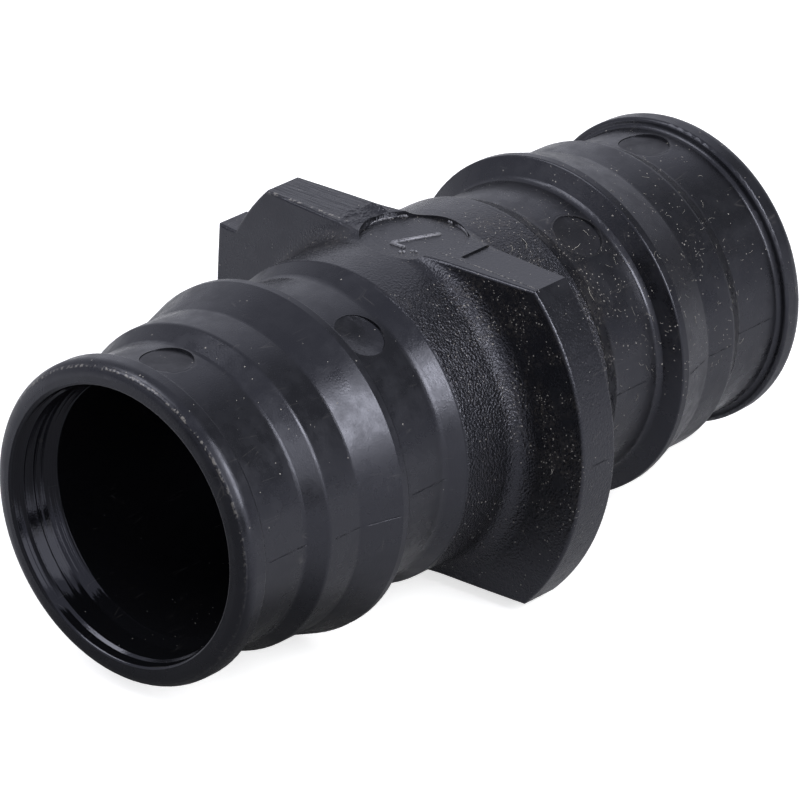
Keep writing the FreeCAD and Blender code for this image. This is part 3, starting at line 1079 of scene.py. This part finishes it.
@dataclass
class TornGate:
    """The rough stub left beside the tab where the moulding was broken off its runner.

    Its raised lip is placed and sized by shares of the patch, which runs from -1 to 1.
    """

    skin: Skin
    finish: bpy.types.Material
    centre: Pair = (-0.4 * MM, 6.9 * MM)
    size: Pair = (6.6 * MM, 4.4 * MM)
    rise: float = 0.56 * MM
    sink: float = 0.06 * MM
    flat_height: float = 17.2 * MM
    rows: int = 110
    columns: int = 76
    fold_scale: Pair = (900.0, 1500.0)
    fold_share: float = 0.62 / 2.2
    fold_shape: tuple[float, float, int, float, float] = (0.9, 2.1, 4, 0.9, 2.0)
    ragged_edge: float = 0.25
    edge_scale: float = 3.0
    faint_edge: float = 0.3
    lip_centre: Pair = (0.68, -0.10)
    lip_reach: Pair = (0.15, 0.62)
    lip_scale: float = 1700.0
    lip_height: Pair = (0.75, 0.45)

    def build(self) -> bpy.types.Object:
        """Model the torn patch as ragged folds on the flange's flat.

        Returns:
            The patch.
        """
        mesh = bmesh.new()
        us = [row / self.rows * 2 - 1 for row in range(self.rows + 1)]
        vs = [column / self.columns * 2 - 1 for column in range(self.columns + 1)]
        grid = [[mesh.verts.new(self._point(u, v)) for v in vs] for u in us]
        for first, second in zip(grid, grid[1:]):
            for index in range(self.columns):
                mesh.faces.new((first[index], first[index + 1], second[index + 1], second[index]))
        return mesh_piece("torn_gate", mesh, self.finish)

    def _point(self, u: float, v: float) -> Vector:
        """Place one vertex of the patch, sunk under the flat round its edge.

        Args:
            u: place along the patch.
            v: place across it.

        Returns:
            The vertex.
        """
        x = self.centre[0] + u * self.size[0] / 2
        y = self.centre[1] + v * self.size[1] / 2
        found = self.skin.under(Vector((x, y, CLEAR)), DOWN)
        base = found[0].z if found else self.flat_height
        fold_place = Vector((x * self.fold_scale[0], y * self.fold_scale[1], 0.3))
        folds = self.fold_share * noise.ridged_multi_fractal(fold_place, *self.fold_shape)
        ragged = self.ragged_edge * noise.noise(Vector((u * self.edge_scale, v * self.edge_scale, 4.0)))
        edge = 1.0 - min(1.0, math.hypot(u, v) + ragged) ** 4
        if edge <= self.faint_edge:
            edge *= max(edge, 0.0)
        mean, spread = self.lip_height
        torn = mean + spread * noise.noise(Vector((x * self.lip_scale, y * self.lip_scale, 7.0)))
        lip = math.exp(-((u - self.lip_centre[0]) / self.lip_reach[0]) ** 2) * torn
        lip *= math.exp(-((v - self.lip_centre[1]) / self.lip_reach[1]) ** 4)
        lift = self.rise * (folds * edge + lip) - self.sink
        return Vector((x, y, base + max(min(lift, self.rise), -self.sink)))


@dataclass(frozen=True)
class Fibre:
    """One piece of lint: where it lies, which way it points, how long it is and how it curls."""

    along: float
    angle: float
    turn: float
    length: float
    curl: float


@dataclass
class StorageLint:
    """Fibres, hairs and grains that cling to the coupling.

    The pairs below are a mean with its spread for places and angles, apart from bore_place,
    and otherwise two ends. They are in millimetres and degrees.
    """

    skin: Skin
    finish: bpy.types.Material
    thickness: float = 0.045 * MM
    fibres: Sequence[Fibre] = (
        Fibre(8.9 * MM, -24.7, 60.0, 1.5 * MM, 0.9),
        Fibre(15.8 * MM, -32.0, 10.0, 1.1 * MM, 0.3),
        Fibre(18.2 * MM, -28.2, 100.0, 0.7 * MM, 0.5),
        Fibre(13.1 * MM, -50.3, 75.0, 1.7 * MM, -0.8),
        Fibre(-2.9 * MM, -93.2, 40.0, 0.9 * MM, 0.6),
        Fibre(-20.6 * MM, 4.0, 30.0, 0.5 * MM, 0.4),
    )
    fibre_steps: int = 10
    fibre_sides: int = 6
    fibre_end: float = 0.3
    above_skin: float = 4.0 * MM
    hairs: int = 95
    hair_thickness: float = 0.026 * MM
    hair_place: Pair = (25.0, 8.0)
    hair_angle: Pair = (-58.0, 20.0)
    hair_turn: Pair = (0.0, 180.0)
    hair_length: Pair = (0.25, 0.95)
    hair_curl: Pair = (-0.9, 0.9)
    grains: int = 240
    grain_place: Pair = (12.0, 10.0)
    grain_angle: Pair = (-38.0, 26.0)
    grain_size: Pair = (0.018, 0.05)
    grains_end: float = 42.0 * MM
    bore_grains: int = 44
    bore_place: Pair = (-42.5, -16.0)
    bore_angle: Pair = (178.0, 26.0)
    bore_size: Pair = (0.02, 0.05)
    squash: Sequence[Pair] = ((0.5, 1.0), (0.4, 0.8))
    lifted: float = 0.2
    seed: int = 5

    def build(self) -> list[bpy.types.Object]:
        """Lay the fibres and strew the grains.

        Returns:
            The two pieces.
        """
        lint = bmesh.new()
        for fibre in self.fibres:
            self._lay(lint, fibre, self.thickness)
        chance = random.Random(self.seed + 1)
        for _ in range(self.hairs):
            hair = Fibre(
                chance.gauss(*self.hair_place) * MM,
                chance.gauss(*self.hair_angle),
                chance.uniform(*self.hair_turn),
                chance.uniform(*self.hair_length) * MM,
                chance.uniform(*self.hair_curl),
            )
            self._lay(lint, hair, self.hair_thickness)
        grit = bmesh.new()
        self._strew(grit)
        self._strew_bore(grit)
        return [mesh_piece("lint_fibres", lint, self.finish), mesh_piece("grit_grains", grit, self.finish)]

    def _lay(self, mesh: bmesh.types.BMesh, fibre: Fibre, thickness: float) -> None:
        """Lay one fibre on the surface.

        Args:
            mesh: the mesh to add to.
            fibre: the fibre.
            thickness: how thick it is.
        """
        found = self.skin.barrel(fibre.along, math.radians(fibre.angle))
        if found is None:
            return
        place, normal = found
        turn = math.radians(fibre.turn)
        heading = X_AXIS * math.cos(turn) + normal.cross(X_AXIS).normalized() * math.sin(turn)
        across = normal.cross(heading).normalized()
        hits = []
        for index in range(self.fibre_steps + 1):
            share = index / self.fibre_steps - 0.5
            bend = fibre.curl * fibre.length * (share * share - 0.1)
            point = place + heading * (share * fibre.length) + across * bend
            hits.append(self.skin.under(point + normal * self.above_skin, -normal))
        hits = [hit for hit in hits if hit is not None]
        if len(hits) < 3:
            return
        scales = [self.fibre_end] + [1.0] * (len(hits) - 2) + [self.fibre_end]
        turns = [index * math.tau / self.fibre_sides for index in range(self.fibre_sides)]
        section = [(thickness / 2 * math.cos(turn), thickness / 2 * math.sin(turn)) for turn in turns]
        path = [point + up * thickness * 0.5 for point, up in hits]
        sweep(mesh, path, [up for _, up in hits], section, scales)

    def _strew(self, mesh: bmesh.types.BMesh) -> None:
        """Strew grains, thickest on the textured middle and its far side.

        Args:
            mesh: the mesh to add to.
        """
        chance = random.Random(self.seed)
        for _ in range(self.grains):
            along = chance.gauss(*self.grain_place) * MM
            angle = math.radians(chance.gauss(*self.grain_angle))
            if abs(along) <= self.grains_end:
                self._drop(mesh, self.skin.barrel(along, angle), self.grain_size, chance)

    def _strew_bore(self, mesh: bmesh.types.BMesh) -> None:
        """Strew a few grains along the bottom of the bore.

        Args:
            mesh: the mesh to add to.
        """
        chance = random.Random(self.seed + 2)
        for _ in range(self.bore_grains):
            along = chance.uniform(*self.bore_place) * MM
            angle = math.radians(chance.gauss(*self.bore_angle))
            self._drop(mesh, self.skin.bore(along, angle), self.bore_size, chance)

    def _drop(
        self, mesh: bmesh.types.BMesh, found: Found | None, sizes: Pair, chance: random.Random
    ) -> None:
        """Set one squashed grain down on the surface, if there is any.

        Args:
            mesh: the mesh to add to.
            found: the place and its normal, or None.
            sizes: smallest and largest size in millimetres.
            chance: where its size and shape are drawn from.
        """
        if found is None:
            return
        size = chance.uniform(*sizes) * MM
        squash = Matrix.Diagonal((1.0, *(chance.uniform(*ends) for ends in self.squash), 1.0))
        spin = Matrix.Rotation(chance.uniform(0, math.tau), 4, "Z")
        tilt = found[1].to_track_quat("Z", "Y").to_matrix().to_4x4()
        place = Matrix.Translation(found[0] + found[1] * size * self.lifted)
        bmesh.ops.create_icosphere(mesh, subdivisions=1, radius=size, matrix=place @ tilt @ spin @ squash)


@dataclass(frozen=True)
class PhotoCamera:
    """The camera of the photograph: where it stands, what it looks at, its roll and its lens."""

    place: Triple = (-0.4735, -0.4037, 0.2954)
    aim: Triple = (-0.00105, 0.00048, -0.00102)
    roll: float = 1.393
    lens: float = 303.5
    sensor_width: float = 36.0
    clip_start: float = 0.01
    clip_end: float = 20.0

    def build(self) -> None:
        """Place the camera and make it the scene's own."""
        data = bpy.data.cameras.new("photo_camera")
        for name in ("lens", "sensor_width", "clip_start", "clip_end"):
            setattr(data, name, getattr(self, name))
        camera = bpy.data.objects.new("photo_camera", data)
        place = Vector(self.place)
        turn = (Vector(self.aim) - place).to_track_quat("-Z", "Y").to_matrix().to_4x4()
        roll = Matrix.Rotation(math.radians(self.roll), 4, "Z")
        camera.matrix_world = Matrix.Translation(place) @ turn @ roll
        bpy.context.scene.collection.objects.link(camera)
        bpy.context.scene.camera = camera


@dataclass(frozen=True)
class Softbox:
    """A rectangular softbox: the way to it from the coupling, its distance, size and brightness."""

    name: str
    azimuth: float
    elevation: float
    distance: float
    size: Pair
    radiance: float

    def build(self) -> None:
        """Hang the softbox so that it faces the coupling."""
        data = bpy.data.lights.new(self.name, "AREA")
        data.shape = "RECTANGLE"
        data.size, data.size_y = self.size
        data.energy = self.radiance * math.pi * self.size[0] * self.size[1]
        lamp = bpy.data.objects.new(self.name, data)
        turn, lift = math.radians(self.azimuth), math.radians(self.elevation)
        way = Vector((math.cos(lift) * math.cos(turn), math.cos(lift) * math.sin(turn), math.sin(lift)))
        facing = way.to_track_quat("Z", "Y").to_matrix().to_4x4()
        lamp.matrix_world = Matrix.Translation(way * self.distance) @ facing
        bpy.context.scene.collection.objects.link(lamp)


@dataclass(frozen=True)
class TentPatch:
    """A lighter or darker patch of the tent: the way to it, how it eases in, and its colour."""

    name: str
    way: Triple
    ease: Step
    colour: Colour


@dataclass(frozen=True)
class Studio:
    """White table, pale surround and softboxes."""

    floor_height: float = -18.56 * MM
    floor_half: float = 3.0
    floor_colour: Colour = (0.80, 0.80, 0.80, 1.0)
    # Painted shade on the table, seen only by rays that bounce off it: darker on the -Y side and, by
    # floor_shade, towards the camera side.
    floor_side_shade: Colour = (0.60, 0.60, 0.61, 1.0)
    side_shade_ease: Step = Step(0.05, -0.30)
    floor_shade: Colour = (0.19, 0.19, 0.19, 1.0)
    shade_way: Triple = (-0.99, -0.14, 0.0)
    shade_ease: Step = Step(0.72, 0.94)
    floor_glow: float = 0.70
    surround: Colour = (0.44, 0.447, 0.505, 1.0)
    seen: Colour = (1.0, 1.0, 1.0, 1.0)
    patches: Sequence[TentPatch] = (
        TentPatch("camera side", (-0.977, -0.05, -0.208), Step(0.78, 0.95), (0.15, 0.15, 0.165, 1.0)),
        TentPatch("right horizon", (0.977, -0.208, 0.03), Step(0.950, 0.985), (0.18, 0.18, 0.20, 1.0)),
        TentPatch("right back", (0.72, -0.385, 0.574), Step(0.80, 0.97), (0.20, 0.205, 0.225, 1.0)),
        TentPatch("far back", (0.694, 0.583, 0.423), Step(0.86, 0.97), (0.68, 0.69, 0.77, 1.0)),
        TentPatch("table edge", (-0.31, -0.945, 0.08), Step(0.962, 0.978), (0.03, 0.03, 0.035, 1.0)),
    )
    softboxes: Sequence[Softbox] = (
        Softbox("key_softbox", -85.0, 36.0, 0.60, (0.21, 0.34), 8.8),
        Softbox("key_skirt", -118.0, 28.0, 1.10, (0.90, 0.70), 0.80),
        Softbox("left_softbox", 141.0, 50.0, 0.80, (0.46, 0.46), 3.3),
        Softbox("low_fill", -80.0, 9.0, 0.55, (0.26, 0.14), 0.7),
    )

    def build(self) -> None:
        """Build the table, the surround and the lamps."""
        self._floor()
        self._world()
        for softbox in self.softboxes:
            softbox.build()

    def _floor(self) -> None:
        """Lay the table."""
        mesh = bmesh.new()
        bmesh.ops.create_grid(mesh, x_segments=2, y_segments=2, size=self.floor_half)
        data = bpy.data.meshes.new("floor")
        mesh.to_mesh(data)
        mesh.free()
        floor = bpy.data.objects.new("floor", data)
        floor.location.z = self.floor_height
        bpy.context.scene.collection.objects.link(floor)
        data.materials.append(self._cloth())

    def _cloth(self) -> bpy.types.Material:
        """Make a tablecloth that is white to the camera but keeps a soft shadow.

        Returns:
            The finished material.
        """
        material = bpy.data.materials.new("white_table")
        material.use_nodes = True
        graph = Graph(material.node_tree)
        out = graph.add("ShaderNodeOutputMaterial")
        way = graph.add("ShaderNodeVectorMath", "way", {0: graph.place()}, operation="NORMALIZE").outputs[0]
        camera = Value(graph, graph.add("ShaderNodeLightPath").outputs["Is Camera Ray"])
        # Painted shade for bounced rays only: darker on the -Y side and towards the camera side.
        side = graph.split(way)[1].step(self.side_shade_ease)
        shade = graph.facing("towards the camera side", way, self.shade_way).step(self.shade_ease)
        colour = graph.blend(side * (1.0 - camera), self.floor_colour, self.floor_side_shade)
        colour = graph.blend(shade * (1.0 - camera), colour, self.floor_shade)
        cloth = graph.add("ShaderNodeBsdfDiffuse", "cloth", {"Color": colour})
        glow = graph.add("ShaderNodeEmission", "glow", {"Strength": camera * self.floor_glow})
        both = graph.add("ShaderNodeAddShader", "both", {0: cloth.outputs[0], 1: glow.outputs[0]})
        graph.feed(out.inputs["Surface"], both.outputs[0])
        return material

    def _world(self) -> None:
        """Surround the table with a pale tent of lighter and darker patches, white to the camera."""
        world = bpy.data.worlds.new("tent")
        world.use_nodes = True
        bpy.context.scene.world = world
        graph = Graph(world.node_tree)
        out = graph.add("ShaderNodeOutputWorld")
        way = graph.add("ShaderNodeTexCoord", "way").outputs["Generated"]
        colour: object = self.surround
        for patch in self.patches:
            near = graph.facing(patch.name, way, patch.way).step(patch.ease)
            colour = graph.blend(near, colour, patch.colour)
        tent = graph.add("ShaderNodeBackground", "tent", {"Color": colour})
        white = graph.add("ShaderNodeBackground", "white to the camera", {"Color": self.seen})
        camera = graph.add("ShaderNodeLightPath").outputs["Is Camera Ray"]
        pick = graph.add("ShaderNodeMixShader", "pick", {0: camera, 1: tent.outputs[0], 2: white.outputs[0]})
        graph.feed(out.inputs["Surface"], pick.outputs[0])


def report(pieces: Iterable[bpy.types.Object]) -> None:
    """Log each piece that was made."""
    for piece in pieces:
        LOG.info("made %s with %d faces", piece.name, len(piece.data.polygons))


def main() -> None:
    """Build the coupling's looks and its studio."""
    logging.basicConfig(level=logging.INFO, format="%(name)s: %(message)s")
    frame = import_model()
    scene = bpy.context.scene
    scene.view_settings.view_transform = "Standard"
    node = frame["nodes"][COUPLING_NODE]
    groups = SurfaceGroups()
    polymer = PolymerFinish("satin_black_polymer").build(groups)
    torn = TornFinish("torn_black_polymer").build(groups)
    # The arrow, its dots and the insert's flash get a pale copy, whose pale crests are a painted highlight on
    # their ridges.
    highlit_crests = Step(0.30, 0.60, 0.0, 0.62)
    paled = TornFinish("highlit_black_polymer", pale=(0.38, 0.38, 0.41, 1.0), pale_crests=highlit_crests).build(groups)
    lint = LintFinish("pale_lint").build(groups)
    skin = Skin(node)

    MouldedBody(node, polymer).dress()
    parting = PartingLine(skin, torn)
    pieces = [parting.build(Side.TAB, 3), parting.build(Side.ARC, 8)]
    pieces += [DateArrow(paled).build(), InsertFlash(paled).build(), TornGate(skin, torn).build()]
    pieces += StorageLint(skin, lint).build()
    report(pieces)
    PhotoCamera().build()
    Studio().build()


if __name__ == "__main__":
    main()
